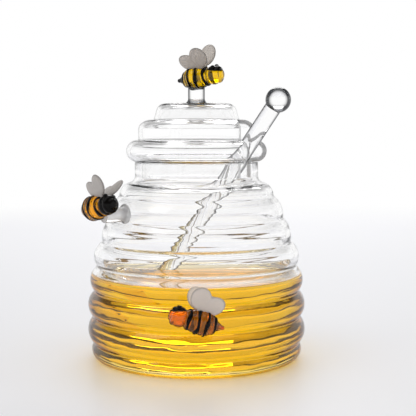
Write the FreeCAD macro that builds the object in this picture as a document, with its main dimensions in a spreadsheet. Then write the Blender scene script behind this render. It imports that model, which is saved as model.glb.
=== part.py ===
import FreeCAD, Part
import Sketcher
import math
import os

# A beehive honey jar of clear borosilicate glass, with its stepped lid, its glass dipper, the honey
# in it and three small lampworked bees. Lengths are in millimetres and angles in degrees. +Z is up,
# the origin is the middle of the foot, and the front of the jar faces -Y.

SIZES = {
    # jar: a hive of round ribs between grooves that lie on an ellipse
    "foot_radius": 43.8,
    "foot_bow": 1.9,
    "first_groove_height": 6.8,
    "groove_pitch": 11.6,
    "pitch_step": 0.34,
    "groove_girth": 45.6,
    "belly_height": 17.0,
    "dome_rise": 81.2,
    "rib_bow": 2.6,
    "shoulder_rib_bow": 1.5,
    "crown_drop": 4.0,
    "crown_rise": 5.7,
    "crown_bow": 1.2,
    "neck_radius": 27.1,
    "neck_cove_rise": 2.6,
    "neck_cove_bow": 0.7,
    "neck_length": 6.4,
    "rim_round": 0.9,
    "wall": 2.2,
    "floor_thickness": 3.6,
    "honey_level": 36.0,
    "film_gap": 0.1,
    # lid: three tiers over a skirt that stands in the neck
    "lid_wall": 1.6,
    "lid_seat_gap": 0.2,
    "skirt_gap": 0.9,
    "skirt_depth": 7.0,
    "bead_seat_radius": 27.5,
    "bead_rise": 9.4,
    "bead_bow": 4.3,
    "tier_radius": 25.5,
    "tier_wall_rise": 5.5,
    "tier_shoulder_rise": 3.2,
    "tier_shoulder_bow": 1.3,
    "cap_radius": 18.8,
    "cap_taper": 1.2,
    "cap_wall_rise": 4.4,
    "cap_shoulder_rise": 2.6,
    "cap_shoulder_bow": 1.2,
    "cap_top_radius": 12.6,
    "notch_radius": 11.2,
    "notch_depth_radius": 19.9,
    "notch_heading": -23.0,
    # dipper: rod, ball and ridged head, all of one rod of glass
    "dipper_heading": -30.0,
    "dipper_lean": 36.0,
    "dipper_rest_gap": 0.3,
    "dipper_length": 131.0,
    "rod_radius": 3.6,
    "ball_radius": 5.4,
    "ridge_root_radius": 4.2,
    "ridge_bow": 2.0,
    "ridge_pitch": 4.4,
    # bees: one pattern, used three times
    "abdomen_reach": 0.0,
    "abdomen_length": 13.4,
    "abdomen_radius": 5.1,
    "thorax_reach": 4.4,
    "thorax_length": 8.0,
    "thorax_radius": 4.1,
    "head_reach": 9.1,
    "head_length": 8.4,
    "head_radius": 3.8,
    "head_bow": 0.7,
    "nose_radius": 0.9,
    "sting_reach": 8.6,
    "sting_radius": 0.7,
    "drop_radius": 0.9,
    "band_width": 1.5,
    "band_bow": 0.45,
    "swell_bow": 0.2,
    "antenna_radius": 1.0,
    "antenna_reach": 0.8,
    "antenna_side": 1.9,
    "antenna_height": 3.4,
    "wing_root_reach": 3.9,
    "wing_root_side": 1.2,
    "wing_root_height": 3.3,
    "wing_root_length": 7.0,
    "wing_root_width": 4.0,
    "fore_lobe_length": 10.2,
    "fore_lobe_width": 8.2,
    "fore_lobe_heading": 10.0,
    "hind_lobe_length": 9.8,
    "hind_lobe_width": 8.0,
    "hind_lobe_heading": -45.0,
    "wing_thickness": 1.5,
    # places of the three bees and the clear posts that carry them
    "top_bee_height": 11.1,
    "top_post_radius": 3.7,
    "top_post_flare": 1.3,
    "side_bee_heading": 214.5,
    "side_bee_standoff": 12.6,
    "side_bee_height": 68.1,
    "side_post_heading": 217.5,
    "side_post_height": 65.0,
    "side_post_end_gap": 2.4,
    "side_post_radius": 3.1,
    "side_post_flare": 1.2,
    "front_bee_heading": 271.9,
    "front_bee_standoff": 7.8,
    "front_bee_height": 25.5,
    "front_post_heading": 271.9,
    "front_post_height": 25.5,
    "front_post_end_gap": 1.5,
    "front_post_radius": 2.6,
    "front_post_flare": 0.8,
}

GROOVES = 7  # grooves round the hive, with a rib between each two
HIVE_RIBS = 4  # the lower ribs, which are rounder than those of the shoulder
RIDGES = 6  # ridges on the dipper's head
# the dark bands round each bee: on what, and which share of its half length ahead of its middle
BANDS = (("abdomen", -0.78), ("abdomen", -0.26), ("abdomen", 0.27), ("thorax", 0.27))
NECK, BROW, FACE = -0.53, 0.3, 0.8  # the same shares for three circles of the head
LOBE_REACH, ROOT_REACH = 0.64, 0.42  # how far out a lobe's middle lies, as shares of its length
LOBE_STEP = 0.12  # how far the two lobes of a wing lie to either side of its middle plane
TIP_LIFT = 0.6  # how far the dipper's tip stays off the jar's floor
POST_SEAT = 1.5  # how deep a post starts in what carries it, before it is cut free

# How each bee stands: its yaw, how far its head and its left side are raised, how far its wings are
# splayed, how far ahead of the pattern they stand on its back, and their share of its wings' length.
STANCES = {
    "top_bee": (-30, 7, 10, 30, 0.2, 1.0),
    "side_bee": (-50, 11, -12, 33, 2.8, 0.87),
    "front_bee": (188, 16, 8, 30, -1.8, 1.0),
}

doc = FreeCAD.newDocument("HoneyJar")
sheet = doc.addObject("Spreadsheet::Sheet", "Sizes")
for row, (alias, number) in enumerate(SIZES.items(), start=1):
    sheet.set(f"A{row}", alias)
    sheet.set(f"B{row}", str(number))
    sheet.setAlias(f"B{row}", alias)
doc.recompute()


def size(alias):
    """The number that the sheet holds under this alias."""
    return float(sheet.get(alias))


def cell(alias):
    """How an expression names a size of the sheet."""
    return f"Sizes.{alias}"


def worth(expression):
    """What an expression comes to with the sheet's present sizes."""
    value = sheet.evalExpression(expression)
    return float(getattr(value, "Value", value))


def add(kind, name, **bound):
    """A new object whose named properties follow the expressions given for them."""
    made = doc.addObject(kind, name)
    for prop, expression in bound.items():
        made.setExpression(prop, expression)
    return made


def place(thing, at=(0, 0, 0), axis=(0, 0, 1), angle=0.0):
    """Turns a thing about an axis through its own origin, and moves it there."""
    turn = FreeCAD.Rotation(FreeCAD.Vector(*axis), angle)
    thing.Placement = FreeCAD.Placement(FreeCAD.Vector(*at), turn)
    return thing


# ---- outlines and what is made from them ----


def bow_radius(start, end, bow):
    """The radius of the arc from start to end that stands out by bow from its chord."""
    across = f"(({end[0]}) - ({start[0]}))"
    up = f"(({end[1]}) - ({start[1]}))"
    return f"({across}^2 + {up}^2) / (8 * {bow}) + {bow} / 2"


def bowed_side(start, end, radius, bow, hollow):
    """An arc of this radius between two points of a sketch, full or hollow."""
    middle = (start + end) / 2
    inward = FreeCAD.Vector(start.y - end.y, end.x - start.x, 0).normalize()
    if hollow:
        inward = inward * -1
    centre = middle + inward * (radius - bow)
    first, last = (end, start) if hollow else (start, end)
    angles = [math.atan2((p - centre).y, (p - centre).x) for p in (first, last)]
    circle = Part.Circle(centre, FreeCAD.Vector(0, 0, 1), radius)
    return Part.ArcOfCircle(circle, *angles)


def outline(name, corners):
    """A closed half section in a sketch on the XZ plane, taken round with the axis on its left.

    A corner is its radius, its height and what runs from it to the next corner: None for a straight
    side, or the bow of an arc, with True after it where the arc is hollow.
    """
    sketch = doc.addObject("Sketcher::SketchObject", name)
    place(sketch, axis=(1, 0, 0), angle=90)
    spots = [FreeCAD.Vector(worth(r), worth(z), 0) for r, z, *_ in corners]
    ends = []
    for here, corner in enumerate(corners):
        after = (here + 1) % len(corners)
        bow, hollow = (list(corner[2:]) + [None, False])[:2]
        if bow is None:
            side = Part.LineSegment(spots[here], spots[after])
        else:
            radius = bow_radius(corner, corners[after], bow)
            side = bowed_side(spots[here], spots[after], worth(radius), worth(bow), hollow)
        index = sketch.addGeometry(side, False)
        ends.append((2, 1) if hollow else (1, 2))
        if bow is not None:
            sketch.addConstraint(Sketcher.Constraint("Radius", index, worth(radius)))
            sketch.setExpression(f"Constraints[{sketch.ConstraintCount - 1}]", radius)
    for here, (radius, height, *_) in enumerate(corners):
        before = here - 1 if here else len(corners) - 1
        sketch.addConstraint(
            Sketcher.Constraint("Coincident", before, ends[before][1], here, ends[here][0])
        )
        for direction, expression, axis in (("DistanceX", radius, -2), ("DistanceY", height, -1)):
            start = ends[here][0]
            if worth(expression) == 0:
                sketch.addConstraint(Sketcher.Constraint("PointOnObject", here, start, axis))
                continue
            sketch.addConstraint(
                Sketcher.Constraint(direction, -1, 1, here, start, worth(expression))
            )
            sketch.setExpression(f"Constraints[{sketch.ConstraintCount - 1}]", expression)
    return sketch


def turned(name, corners):
    """The solid that an outline sweeps when it is turned once round the Z axis."""
    spun = doc.addObject("Part::Revolution", name)
    spun.Source = outline(f"{name}_outline", corners)
    spun.Axis = (0, 0, 1)
    spun.Angle = 360
    spun.Solid = True
    doc.recompute()
    return spun


def flat_face(solid, height):
    """The name of the flat level face of a solid at this height."""
    for number, face in enumerate(solid.Shape.Faces, start=1):
        level = abs(face.normalAt(0, 0).z) > 0.999 and abs(face.CenterOfMass.z - height) < 1e-4
        if level and isinstance(face.Surface, Part.Plane):
            return f"Face{number}"
    raise ValueError(f"{solid.Name} has no flat face at {height}")


def hollowed(name, solid, open_height, wall):
    """The solid with only an even wall left inside its surface, open at one level face."""
    shell = add("Part::Thickness", name, Value=f"-({wall})")
    shell.Faces = (solid, [flat_face(solid, open_height)])
    shell.Join = 0
    doc.recompute()
    return shell


def joined(name, *parts):
    fused = doc.addObject("Part::MultiFuse", name)
    fused.Shapes = list(parts)
    return fused


def shared(name, first, second):
    common = doc.addObject("Part::Common", name)
    common.Base, common.Tool = first, second
    return common


def cut(name, base, tool):
    cutting = doc.addObject("Part::Cut", name)
    cutting.Base, cutting.Tool = base, tool
    return cutting


# ---- jar ----

groove_heights = []
groove_radii = []
for k in range(GROOVES):
    rise = f"{cell('first_groove_height')} + {k} * {cell('groove_pitch')}"
    rise += f" - {k * (k - 1) // 2} * {cell('pitch_step')}"
    share = f"(({rise} - {cell('belly_height')}) / {cell('dome_rise')})"
    groove_heights.append(rise)
    groove_radii.append(f"{cell('groove_girth')} * sqrt(1 - {share}^2)")

crown = (
    f"{groove_radii[-1]} - {cell('crown_drop')}",
    f"{groove_heights[-1]} + {cell('crown_rise')}",
)
neck_foot = f"{crown[1]} + {cell('neck_cove_rise')}"
rim_height = f"{neck_foot} + {cell('neck_length')}"

jar_corners = [("0", "0"), (cell("foot_radius"), "0", cell("foot_bow"))]
for k in range(GROOVES):
    bow = cell("rib_bow" if k < HIVE_RIBS else "shoulder_rib_bow")
    if k == GROOVES - 1:
        bow = cell("crown_bow")
    jar_corners.append((groove_radii[k], groove_heights[k], bow))
jar_corners += [
    (*crown, cell("neck_cove_bow"), True),
    (cell("neck_radius"), neck_foot),
    (cell("neck_radius"), rim_height),
    ("0", rim_height),
]
hive = turned("hive", jar_corners)


def slab(name, thickness, radius):
    """A round slab on the ground."""
    return add("Part::Cylinder", name, Height=thickness, Radius=radius)


def jar_glass(name, wall, floor):
    """The jar's glass: an even wall inside the hive, and a thicker flat floor."""
    shell = hollowed(f"{name}_shell", hive, worth(rim_height), wall)
    disc = slab(f"{name}_disc", floor, f"{cell('groove_girth')} * 1.2")
    return joined(name, shell, shared(f"{name}_floor", hive, disc))


whole_jar = jar_glass("whole_jar", cell("wall"), cell("floor_thickness"))
doc.recompute()
rim_edges = [
    number
    for number, edge in enumerate(whole_jar.Shape.Edges, start=1)
    if all(abs(v.Z - worth(rim_height)) < 1e-4 for v in edge.Vertexes)
]
jar = doc.addObject("Part::Fillet", "jar")
jar.Base = whole_jar
jar.Edges = [(number, size("rim_round"), size("rim_round")) for number in rim_edges]

# ---- lid ----

skirt_radius = f"({cell('neck_radius')} - {cell('wall')} - {cell('skirt_gap')})"
lid_foot = f"{rim_height} + {cell('lid_seat_gap')}"
skirt_foot = f"{lid_foot} - {cell('skirt_depth')}"
bead_top = f"{lid_foot} + {cell('bead_rise')}"
tier_wall_top = f"{bead_top} + {cell('tier_wall_rise')}"
tier_top = f"{tier_wall_top} + {cell('tier_shoulder_rise')}"
cap_wall_top = f"{tier_top} + {cell('cap_wall_rise')}"
lid_top = f"{cap_wall_top} + {cell('cap_shoulder_rise')}"

lid_block = turned(
    "lid_block",
    [
        ("0", skirt_foot),
        (skirt_radius, skirt_foot),
        (skirt_radius, lid_foot),
        (cell("bead_seat_radius"), lid_foot, cell("bead_bow")),
        (cell("tier_radius"), bead_top),
        (cell("tier_radius"), tier_wall_top, cell("tier_shoulder_bow")),
        (cell("cap_radius"), tier_top),
        (f"{cell('cap_radius')} - {cell('cap_taper')}", cap_wall_top, cell("cap_shoulder_bow")),
        (cell("cap_top_radius"), lid_top),
        ("0", lid_top),
    ],
)
lid_shell = hollowed("lid_shell", lid_block, worth(skirt_foot), cell("lid_wall"))

# The notch is a round-ended slot, cut straight down through the lowest tiers and the skirt.
notch_reach = size("notch_depth_radius") + size("notch_radius")
notch_way = math.radians(size("notch_heading"))
notch_foot = worth(skirt_foot) - 1
notch_rise = f"{tier_top} - ({skirt_foot}) + 2"
notch_end = add(
    "Part::Cylinder", "notch_end", Radius=cell("notch_radius"), Height=notch_rise
)
place(notch_end, at=(notch_reach * math.cos(notch_way), notch_reach * math.sin(notch_way), notch_foot))
notch_way_out = add(
    "Part::Box",
    "notch_way_out",
    Length=cell("notch_radius") + " * 2",
    Width=cell("notch_radius") + " * 2",
    Height=notch_rise,
)
side_step = FreeCAD.Vector(math.sin(notch_way), -math.cos(notch_way), 0) * size("notch_radius")
notch_start = FreeCAD.Vector(notch_end.Placement.Base) + side_step
place(notch_way_out, at=tuple(notch_start), angle=size("notch_heading"))
lid = cut("lid", lid_shell, joined("notch", notch_end, notch_way_out))

# ---- dipper ----

# The head starts at the tip: round ridges, one to each pitch. Then comes the plain rod, with a ball
# at its other end.
dipper_corners = [("0", "0")]
for k in range(RIDGES):
    foot = f"{k} * {cell('ridge_pitch')}"
    dipper_corners.append((cell("ridge_root_radius"), foot, cell("ridge_bow")))
head_top = f"{RIDGES} * {cell('ridge_pitch')}"
dipper_corners += [
    (cell("ridge_root_radius"), head_top),
    (cell("rod_radius"), head_top),
    (cell("rod_radius"), cell("dipper_length")),
    ("0", cell("dipper_length")),
]
dipper_stick = turned("dipper_stick", dipper_corners)
dipper_ball = add("Part::Sphere", "dipper_ball", Radius=cell("ball_radius"))

lean = math.radians(size("dipper_lean"))
dipper_way = math.radians(size("dipper_heading"))
outward = FreeCAD.Vector(math.cos(dipper_way), math.sin(dipper_way), 0)
along = outward * math.sin(lean) + FreeCAD.Vector(0, 0, math.cos(lean))
rim_reach = size("neck_radius") - size("wall") - size("dipper_rest_gap")
rim_reach -= size("rod_radius") / math.cos(lean)
at_rim = outward * rim_reach + FreeCAD.Vector(0, 0, worth(rim_height))
tip_height = size("floor_thickness") + TIP_LIFT + size("ridge_root_radius") * math.sin(lean)
tip = at_rim - along * ((at_rim.z - tip_height) / math.cos(lean))
lean_axis = FreeCAD.Vector(0, 0, 1).cross(outward)
place(dipper_stick, at=tuple(tip), axis=tuple(lean_axis), angle=size("dipper_lean"))
place(dipper_ball, at=tuple(tip + along * size("dipper_length")))
dipper = joined("dipper", dipper_stick, dipper_ball)

# ---- honey ----

film_wall = f"{cell('wall')} + {cell('film_gap')}"
film_floor = f"{cell('floor_thickness')} + {cell('film_gap')}"
filmed_jar = jar_glass("filmed_jar", film_wall, film_floor)
cavity = cut("cavity", hive, filmed_jar)
honey_depth = slab("honey_depth", cell("honey_level"), f"{cell('groove_girth')} * 1.2")
honey_body = shared("honey_body", cavity, honey_depth)
honey = cut("honey", honey_body, dipper)


# ---- bees ----


def girth(part, share, ahead="0"):
    """A corner of a bee's outline: this share of a part's half length ahead, and a bit more."""
    half = f"({cell(f'{part}_length')} / 2)"
    off = f"({share} * {half} + ({ahead}))"
    radius = f"{cell(f'{part}_radius')} * sqrt(1 - ({off} / {half})^2)"
    return radius, f"{cell(f'{part}_reach')} + {off}"


def bee_body(name):
    """Sting, banded abdomen, thorax and head in one turning, along X with the head at +X."""
    tail = f"-{cell('sting_reach')}"
    corners = [("0", tail), (cell("sting_radius"), tail)]
    half_band = f"{cell('band_width')} / 2"
    for part, share in BANDS:
        corners.append((*girth(part, share, f"-{half_band}"), cell("band_bow")))
        corners.append((*girth(part, share, half_band), cell("swell_bow")))
    corners[-1] = corners[-1][:2]
    corners += [(*girth("head", share), cell("head_bow")) for share in (NECK, BROW)]
    corners.append((*girth("head", FACE), f"{cell('head_bow')} * 0.4"))
    nose = f"{cell('head_reach')} + {cell('head_length')} / 2"
    corners += [(cell("nose_radius"), nose), ("0", nose)]
    parts = [place(turned(f"{name}_turning", corners), axis=(0, 1, 0), angle=90)]
    drop = add("Part::Sphere", f"{name}_drop", Radius=cell("drop_radius"))
    parts.append(place(drop, at=(-size("sting_reach"), 0, 0)))
    for side, word in ((1, "left"), (-1, "right")):
        knob = add("Part::Sphere", f"{name}_{word}_antenna", Radius=cell("antenna_radius"))
        ahead = size("head_reach") + size("antenna_reach")
        parts.append(place(knob, at=(ahead, side * size("antenna_side"), size("antenna_height"))))
    return parts


def lobe(name, length, width, heading, reach, aside):
    """A flat lobe of a wing near the XZ plane, leaning forward by heading, its middle at reach."""
    made = add(
        "Part::Ellipsoid",
        name,
        Radius1=f"{length} / 2",
        Radius2=f"{width} / 2",
        Radius3=f"{cell('wing_thickness')} / 2",
    )
    made.Angle1 = -90
    turn = math.radians(heading)
    middle = (reach * math.sin(turn), aside, reach * math.cos(turn))
    return place(made, at=middle, axis=(0, 1, 0), angle=heading)


def bee_wing(name, side, splay_angle, shift, share):
    """A two-lobed wing that stands on the thorax, splayed out to one side, +1 for the left."""
    parts = []
    for word, aside in (("fore", LOBE_STEP), ("hind", -LOBE_STEP)):
        length, width = (f"{share} * {cell(f'{word}_lobe_{of}')}" for of in ("length", "width"))
        reach = LOBE_REACH * worth(length)
        heading = size(f"{word}_lobe_heading")
        parts.append(lobe(f"{name}_{word}", length, width, heading, reach, aside))
    middle_heading = (size("fore_lobe_heading") + size("hind_lobe_heading")) / 2
    root_sizes = cell("wing_root_length"), cell("wing_root_width")
    reach = ROOT_REACH * size("wing_root_length")
    parts.append(lobe(f"{name}_root", *root_sizes, middle_heading, reach, 0))
    root_side = side * size("wing_root_side")
    root = FreeCAD.Vector(size("wing_root_reach") + shift, root_side, size("wing_root_height"))
    splay = FreeCAD.Rotation(FreeCAD.Vector(1, 0, 0), -side * splay_angle)
    whole = FreeCAD.Placement(root, splay)
    for part in parts:
        part.Placement = whole.multiply(part.Placement)
    return parts


def bee(name, middle):
    """A bee with its abdomen's middle there, in the stance given for it."""
    yaw, pitch, roll, *wing_stance = STANCES[name]
    turn = FreeCAD.Rotation(FreeCAD.Vector(0, 0, 1), yaw)
    turn = turn.multiply(FreeCAD.Rotation(FreeCAD.Vector(0, 1, 0), -pitch))
    turn = turn.multiply(FreeCAD.Rotation(FreeCAD.Vector(1, 0, 0), roll))
    stance = FreeCAD.Placement(middle, turn)
    body_parts = bee_body(name)
    body = joined(f"{name}_body", *body_parts)
    made = [body]
    for side, word in ((1, "left"), (-1, "right")):
        wing_parts = bee_wing(f"{name}_{word}", side, *wing_stance)
        whole_wing = joined(f"{name}_{word}_whole", *wing_parts)
        made.append(cut(f"{name}_{word}_wing", whole_wing, body))
        body_parts += wing_parts
    for part in body_parts:
        part.Placement = stance.multiply(part.Placement)
    return made


def post(name, start, way, seat, length, radius, flare, under, body):
    """A clear post from a seat deep in what carries it into a bee, cut free of both."""
    shaft = add("Part::Cylinder", f"{name}_shaft", Radius=radius)
    shaft.Height = length
    foot = add("Part::Cone", f"{name}_foot", Radius1=f"{radius} + {flare}", Radius2=radius)
    foot.Height = worth(flare) * 1.8 + seat
    turn = FreeCAD.Rotation(FreeCAD.Vector(0, 0, 1), way)
    for part in (shaft, foot):
        part.Placement = FreeCAD.Placement(start, turn)
    free_of_under = cut(f"{name}_seated", joined(f"{name}_whole", shaft, foot), under)
    return cut(f"{name}_post", free_of_under, body)


def radial(heading):
    angle = math.radians(heading)
    return FreeCAD.Vector(math.cos(angle), math.sin(angle), 0)


def hive_radius(height):
    """The outer radius of the hive at a height."""
    line = Part.makeLine((0, 0, height), (2 * size("groove_girth"), 0, height))
    return line.common(hive.Shape).BoundBox.XMax


UP = FreeCAD.Vector(0, 0, 1)
top_middle = UP * (worth(lid_top) + size("top_bee_height"))
top_bee = bee("top_bee", top_middle)
top_post = post(
    "top_bee",
    UP * (worth(lid_top) - POST_SEAT),
    UP,
    POST_SEAT,
    size("top_bee_height"),
    cell("top_post_radius"),
    cell("top_post_flare"),
    lid_block,
    top_bee[0],
)

pieces = [jar, honey, lid, dipper, *top_bee, top_post]
for kind in ("side", "front"):
    name = f"{kind}_bee"
    standoff = size(f"{name}_standoff")
    post_height = size(f"{kind}_post_height")
    wall_radius = hive_radius(post_height)
    middle = radial(size(f"{name}_heading")) * (wall_radius + standoff)
    made = bee(name, middle + UP * size(f"{name}_height"))
    way = radial(size(f"{kind}_post_heading"))
    start = way * (wall_radius - POST_SEAT) + UP * post_height
    reach = standoff + POST_SEAT - size(f"{kind}_post_end_gap")
    radius, flare = cell(f"{kind}_post_radius"), cell(f"{kind}_post_flare")
    pieces += [*made, post(name, start, way, POST_SEAT, reach, radius, flare, hive, made[0])]

# ---- checks and export ----

for piece in pieces:
    piece.Label = piece.Name
doc.recompute()
for thing in doc.Objects:
    if {"Invalid", "Error"} & set(thing.State):
        raise RuntimeError(f"{thing.Name} failed: {thing.State}")
os.makedirs("parts", exist_ok=True)
for piece in pieces:
    shape = piece.Shape
    if shape.isNull() or not shape.isValid():
        raise RuntimeError(f"{piece.Label} is not a valid shape")
    if len(shape.Solids) != 1:
        raise RuntimeError(f"{piece.Label} holds {len(shape.Solids)} solids")
    shape.exportStep(f"parts/{piece.Label}.step")
    box = shape.BoundBox
    print(f"{piece.Label:22s} {shape.Volume:10.1f} mm3  z {box.ZMin:7.2f} to {box.ZMax:7.2f}")
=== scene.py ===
"""A beehive honey jar of clear glass, with its lid, its dipper, its honey and three glass bees."""

import math
from typing import NamedTuple

import bmesh
import bpy
import numpy as np
from bpy.props import FloatProperty, FloatVectorProperty, IntProperty, PointerProperty
from bpy.types import Operator, Panel, PropertyGroup
from mathutils import Matrix, Vector


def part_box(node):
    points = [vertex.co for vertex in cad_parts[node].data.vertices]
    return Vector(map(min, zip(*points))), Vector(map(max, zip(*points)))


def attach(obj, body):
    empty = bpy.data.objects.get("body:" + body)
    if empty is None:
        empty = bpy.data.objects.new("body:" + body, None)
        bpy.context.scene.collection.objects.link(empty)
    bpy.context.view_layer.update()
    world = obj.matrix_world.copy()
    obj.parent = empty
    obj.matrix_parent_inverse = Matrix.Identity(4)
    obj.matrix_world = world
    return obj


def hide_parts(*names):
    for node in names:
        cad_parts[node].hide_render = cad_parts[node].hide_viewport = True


bl_info = {
    "name": "Beehive Honey Jar",
    "version": (1, 0, 0),
    "blender": (4, 5, 0),
    "location": "3D View > Sidebar > Honey Jar",
    "description": "Makes the glass, the honey and the small bees of a honey jar",
    "category": "Add Mesh",
}

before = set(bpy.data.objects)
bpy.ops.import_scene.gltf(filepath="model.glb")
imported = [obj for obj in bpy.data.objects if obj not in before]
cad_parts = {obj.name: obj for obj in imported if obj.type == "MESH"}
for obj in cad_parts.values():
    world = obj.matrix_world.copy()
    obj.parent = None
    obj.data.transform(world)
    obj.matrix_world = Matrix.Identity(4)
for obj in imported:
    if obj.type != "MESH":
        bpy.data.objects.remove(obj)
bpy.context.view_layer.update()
MM = 0.001
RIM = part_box("jar")[1][2] / MM
HONEY_LEVEL, CLIMB = 36.0, 0.8  # how high the honey stands, and how far it climbs the wall


def linear(colour):
    """The linear colour of an sRGB hex value such as "e3a62c"."""
    parts = [int(colour[k : k + 2], 16) / 255 for k in (0, 2, 4)]
    return tuple(c / 12.92 if c <= 0.04045 else ((c + 0.055) / 1.055) ** 2.4 for c in parts)


# ---- sizes and colours that a user would change ----


def length(name, default, text):
    """A length in millimetres."""
    return FloatProperty(name=name, description=text, default=default, min=0.0)


def tint(name, default, text):
    """A colour with an opaque alpha, from its hex value."""
    return FloatVectorProperty(
        name=name, description=text, default=(*linear(default), 1.0), size=4, subtype="COLOR"
    )


class HiveSizes(PropertyGroup):
    """Sizes of the jar's glass, in millimetres."""

    foot_radius: length("Foot radius", 43.8, "Radius of the flat foot")
    foot_bow: length("Foot bow", 1.9, "How far the lowest rib stands out")
    first_groove: length("First groove", 6.8, "Height of the lowest groove")
    groove_pitch: length("Groove pitch", 11.6, "Height from the first groove to the second")
    pitch_step: length("Pitch step", 0.34, "How much less each next rib is high")
    groove_girth: length("Groove girth", 45.6, "Radius of the dome that the grooves lie on")
    belly_height: length("Belly height", 17.0, "Height where that dome is widest")
    dome_rise: length("Dome rise", 81.2, "Height of that dome above its widest place")
    rib_bow: length("Rib bow", 2.6, "How far a lower rib stands out")
    shoulder_bow: length("Shoulder rib bow", 1.5, "How far an upper rib stands out")
    neck_radius: length("Neck radius", 27.1, "Outer radius of the straight neck")
    wall: length("Wall", 2.2, "Thickness of the blown wall")
    floor: length("Floor", 3.6, "Thickness of the floor")
    softness: length("Softness", 0.35, "How far the fire softened each crease")


class LidSizes(PropertyGroup):
    """Sizes of the lid's glass, in millimetres."""

    wall: length("Wall", 1.6, "Thickness of the lid's wall")
    tier_radius: length("Tier radius", 25.5, "Radius of the wide tier")
    cap_radius: length("Cap radius", 18.8, "Radius of the cap")
    notch_radius: length("Notch radius", 11.2, "Radius of the round end of the notch")
    notch_reach: length("Notch reach", 31.1, "How far out the middle of that round end lies")
    notch_heading: FloatProperty(
        name="Notch heading",
        description="Way that the notch opens",
        default=math.radians(-23.0),
        subtype="ANGLE",
    )
    bead: length("Bead", 0.95, "Radius of the polished bead along the notch's edge")


class DipperSizes(PropertyGroup):
    """Sizes of the dipper, in millimetres."""

    rod_radius: length("Rod radius", 3.6, "Radius of the plain rod")
    ball_radius: length("Ball radius", 5.4, "Radius of the ball at its upper end")
    length: length("Length", 131.0, "From the flat tip to the middle of the ball")
    root_radius: length("Root radius", 4.2, "Radius between two ridges")
    ridge_bow: length("Ridge bow", 2.0, "How far a ridge stands out")
    ridge_pitch: length("Ridge pitch", 4.4, "Distance from one ridge to the next")
    ridges: IntProperty(name="Ridges", description="Ridges on the head", default=6, min=1)


class JarColours(PropertyGroup):
    """Colours of the glass, the honey and the stage."""

    # painted shade: the dark colour that clear glass is painted where it is seen edge on
    glass_edge_shade: tint("Glass edge", "141517", "What clear glass shows where it is seen edge on")
    # painted shade: the glass below the honey is painted this brown where it is seen edge on, for the
    # long path of light through the honey
    honey_edge_shade: tint("Deep honey", "8a5208", "Honey where the light has far to go through it")
    # painted light: a honey-coloured glow painted into the clear glass of the jar's foot, near the
    # table
    painted_foot_glow: tint("Honey at the foot", "ffe795", "Honey where it is thin, near the table")
    lit_honey: tint("Lit honey", "ffeaa0", "The little light that the honey scatters")
    black: tint("Black", "0d0b0a", "Black glass of the bees' bands")
    table: tint("Table", "efeff2", "The pale table")


GROOVES, HIVE_RIBS = 7, 4  # grooves of the jar, and how many of the ribs over them stand far out
SPACING = 0.1  # millimetres between the points of a dense outline
JAR_STEPS, ROD_STEPS, SMALL_STEPS = 144, 96, 64  # steps round a jar or lid, a rod, and a bee or post
# how wide the fire rounded the creases of each part, in millimetres
MELT = {"rim": 0.25, "lid": 0.3, "skirt": 0.2, "dipper": 0.25, "bee": 0.22, "post": 0.2}
WETTED, TINTED = 1, 2  # material slots of a piece of glass, whose first is the clear one


# ---- outlines, in millimetres from the axis and up ----


def arc(start, end, bow, hollow):
    """Points from start to end on an arc that stands out by bow, or in where it is hollow."""
    start, end = np.array(start, float), np.array(end, float)
    chord = end - start
    long = np.hypot(*chord)
    radius = long**2 / (8 * bow) + bow / 2
    inward = np.array((-chord[1], chord[0])) / long * (-1 if hollow else 1)
    centre = (start + end) / 2 + inward * (radius - bow)
    first, last = (math.atan2(*(p - centre)[::-1]) for p in (start, end))
    turn = (last - first) % math.tau if not hollow else -((first - last) % math.tau)
    steps = max(2, int(abs(turn) * radius / SPACING))
    angles = first + turn * np.linspace(0, 1, steps + 1)
    return centre + radius * np.stack((np.cos(angles), np.sin(angles)), 1)


def path(corners):
    """A dense outline through corners, each (radius, height) and the bow of what follows it."""
    runs = []
    for here, after in zip(corners, corners[1:]):
        start, end = here[:2], after[:2]
        if len(here) > 2:
            runs.append(arc(start, end, here[2], len(here) > 3)[:-1])
        else:
            steps = max(1, int(math.dist(start, end) / SPACING))
            runs.append(np.linspace(start, end, steps + 1)[:-1])
    return np.concatenate([*runs, [corners[-1][:2]]])


def spaced(points):
    """The same outline with its points evenly spaced."""
    along = np.concatenate(([0], np.cumsum(np.hypot(*np.diff(points, axis=0).T))))
    at = np.linspace(0, along[-1], max(2, int(along[-1] / SPACING) + 1))
    return np.stack([np.interp(at, along, points[:, k]) for k in (0, 1)], 1)


def softened(points, width):
    """An outline whose creases are rounded over about this width, with its ends kept."""
    points = spaced(points)
    reach = int(3 * width / SPACING) + 1
    kernel = np.exp(-0.5 * (np.arange(-reach, reach + 1) * SPACING / width) ** 2)
    kernel /= kernel.sum()
    before = 2 * points[0] - points[reach:0:-1]
    after = 2 * points[-1] - points[-2 : -reach - 2 : -1]
    whole = np.concatenate((before, points, after))
    return np.stack([np.convolve(whole[:, k], kernel, "valid") for k in (0, 1)], 1)


def inside(points, wall):
    """The outline that lies one wall's thickness inside this one, without its folded parts."""
    slack = 0.03
    tangent = np.gradient(points, axis=0)
    tangent /= np.hypot(*tangent.T)[:, None]
    moved = points + wall * np.stack((-tangent[:, 1], tangent[:, 0]), 1)
    near = [np.hypot(*(points - p).T).min() > wall - slack for p in moved]
    return moved[near]


def thinned(points, slack=0.004, longest=2.0):
    """Fewer points of an outline, that stay within this slack of it and this near to each other."""
    kept = [0]
    here = 0
    while here < len(points) - 1:
        ahead = here + 1
        while ahead < len(points) - 1:
            chord = points[ahead + 1] - points[here]
            far = math.hypot(*chord)
            off = points[here + 1 : ahead + 1] - points[here]
            off = np.abs(chord[0] * off[:, 1] - chord[1] * off[:, 0]).max() / max(far, 1e-9)
            if off > slack or far > longest:
                break
            ahead += 1
        here = ahead
        kept.append(here)
    return points[kept]


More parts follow.
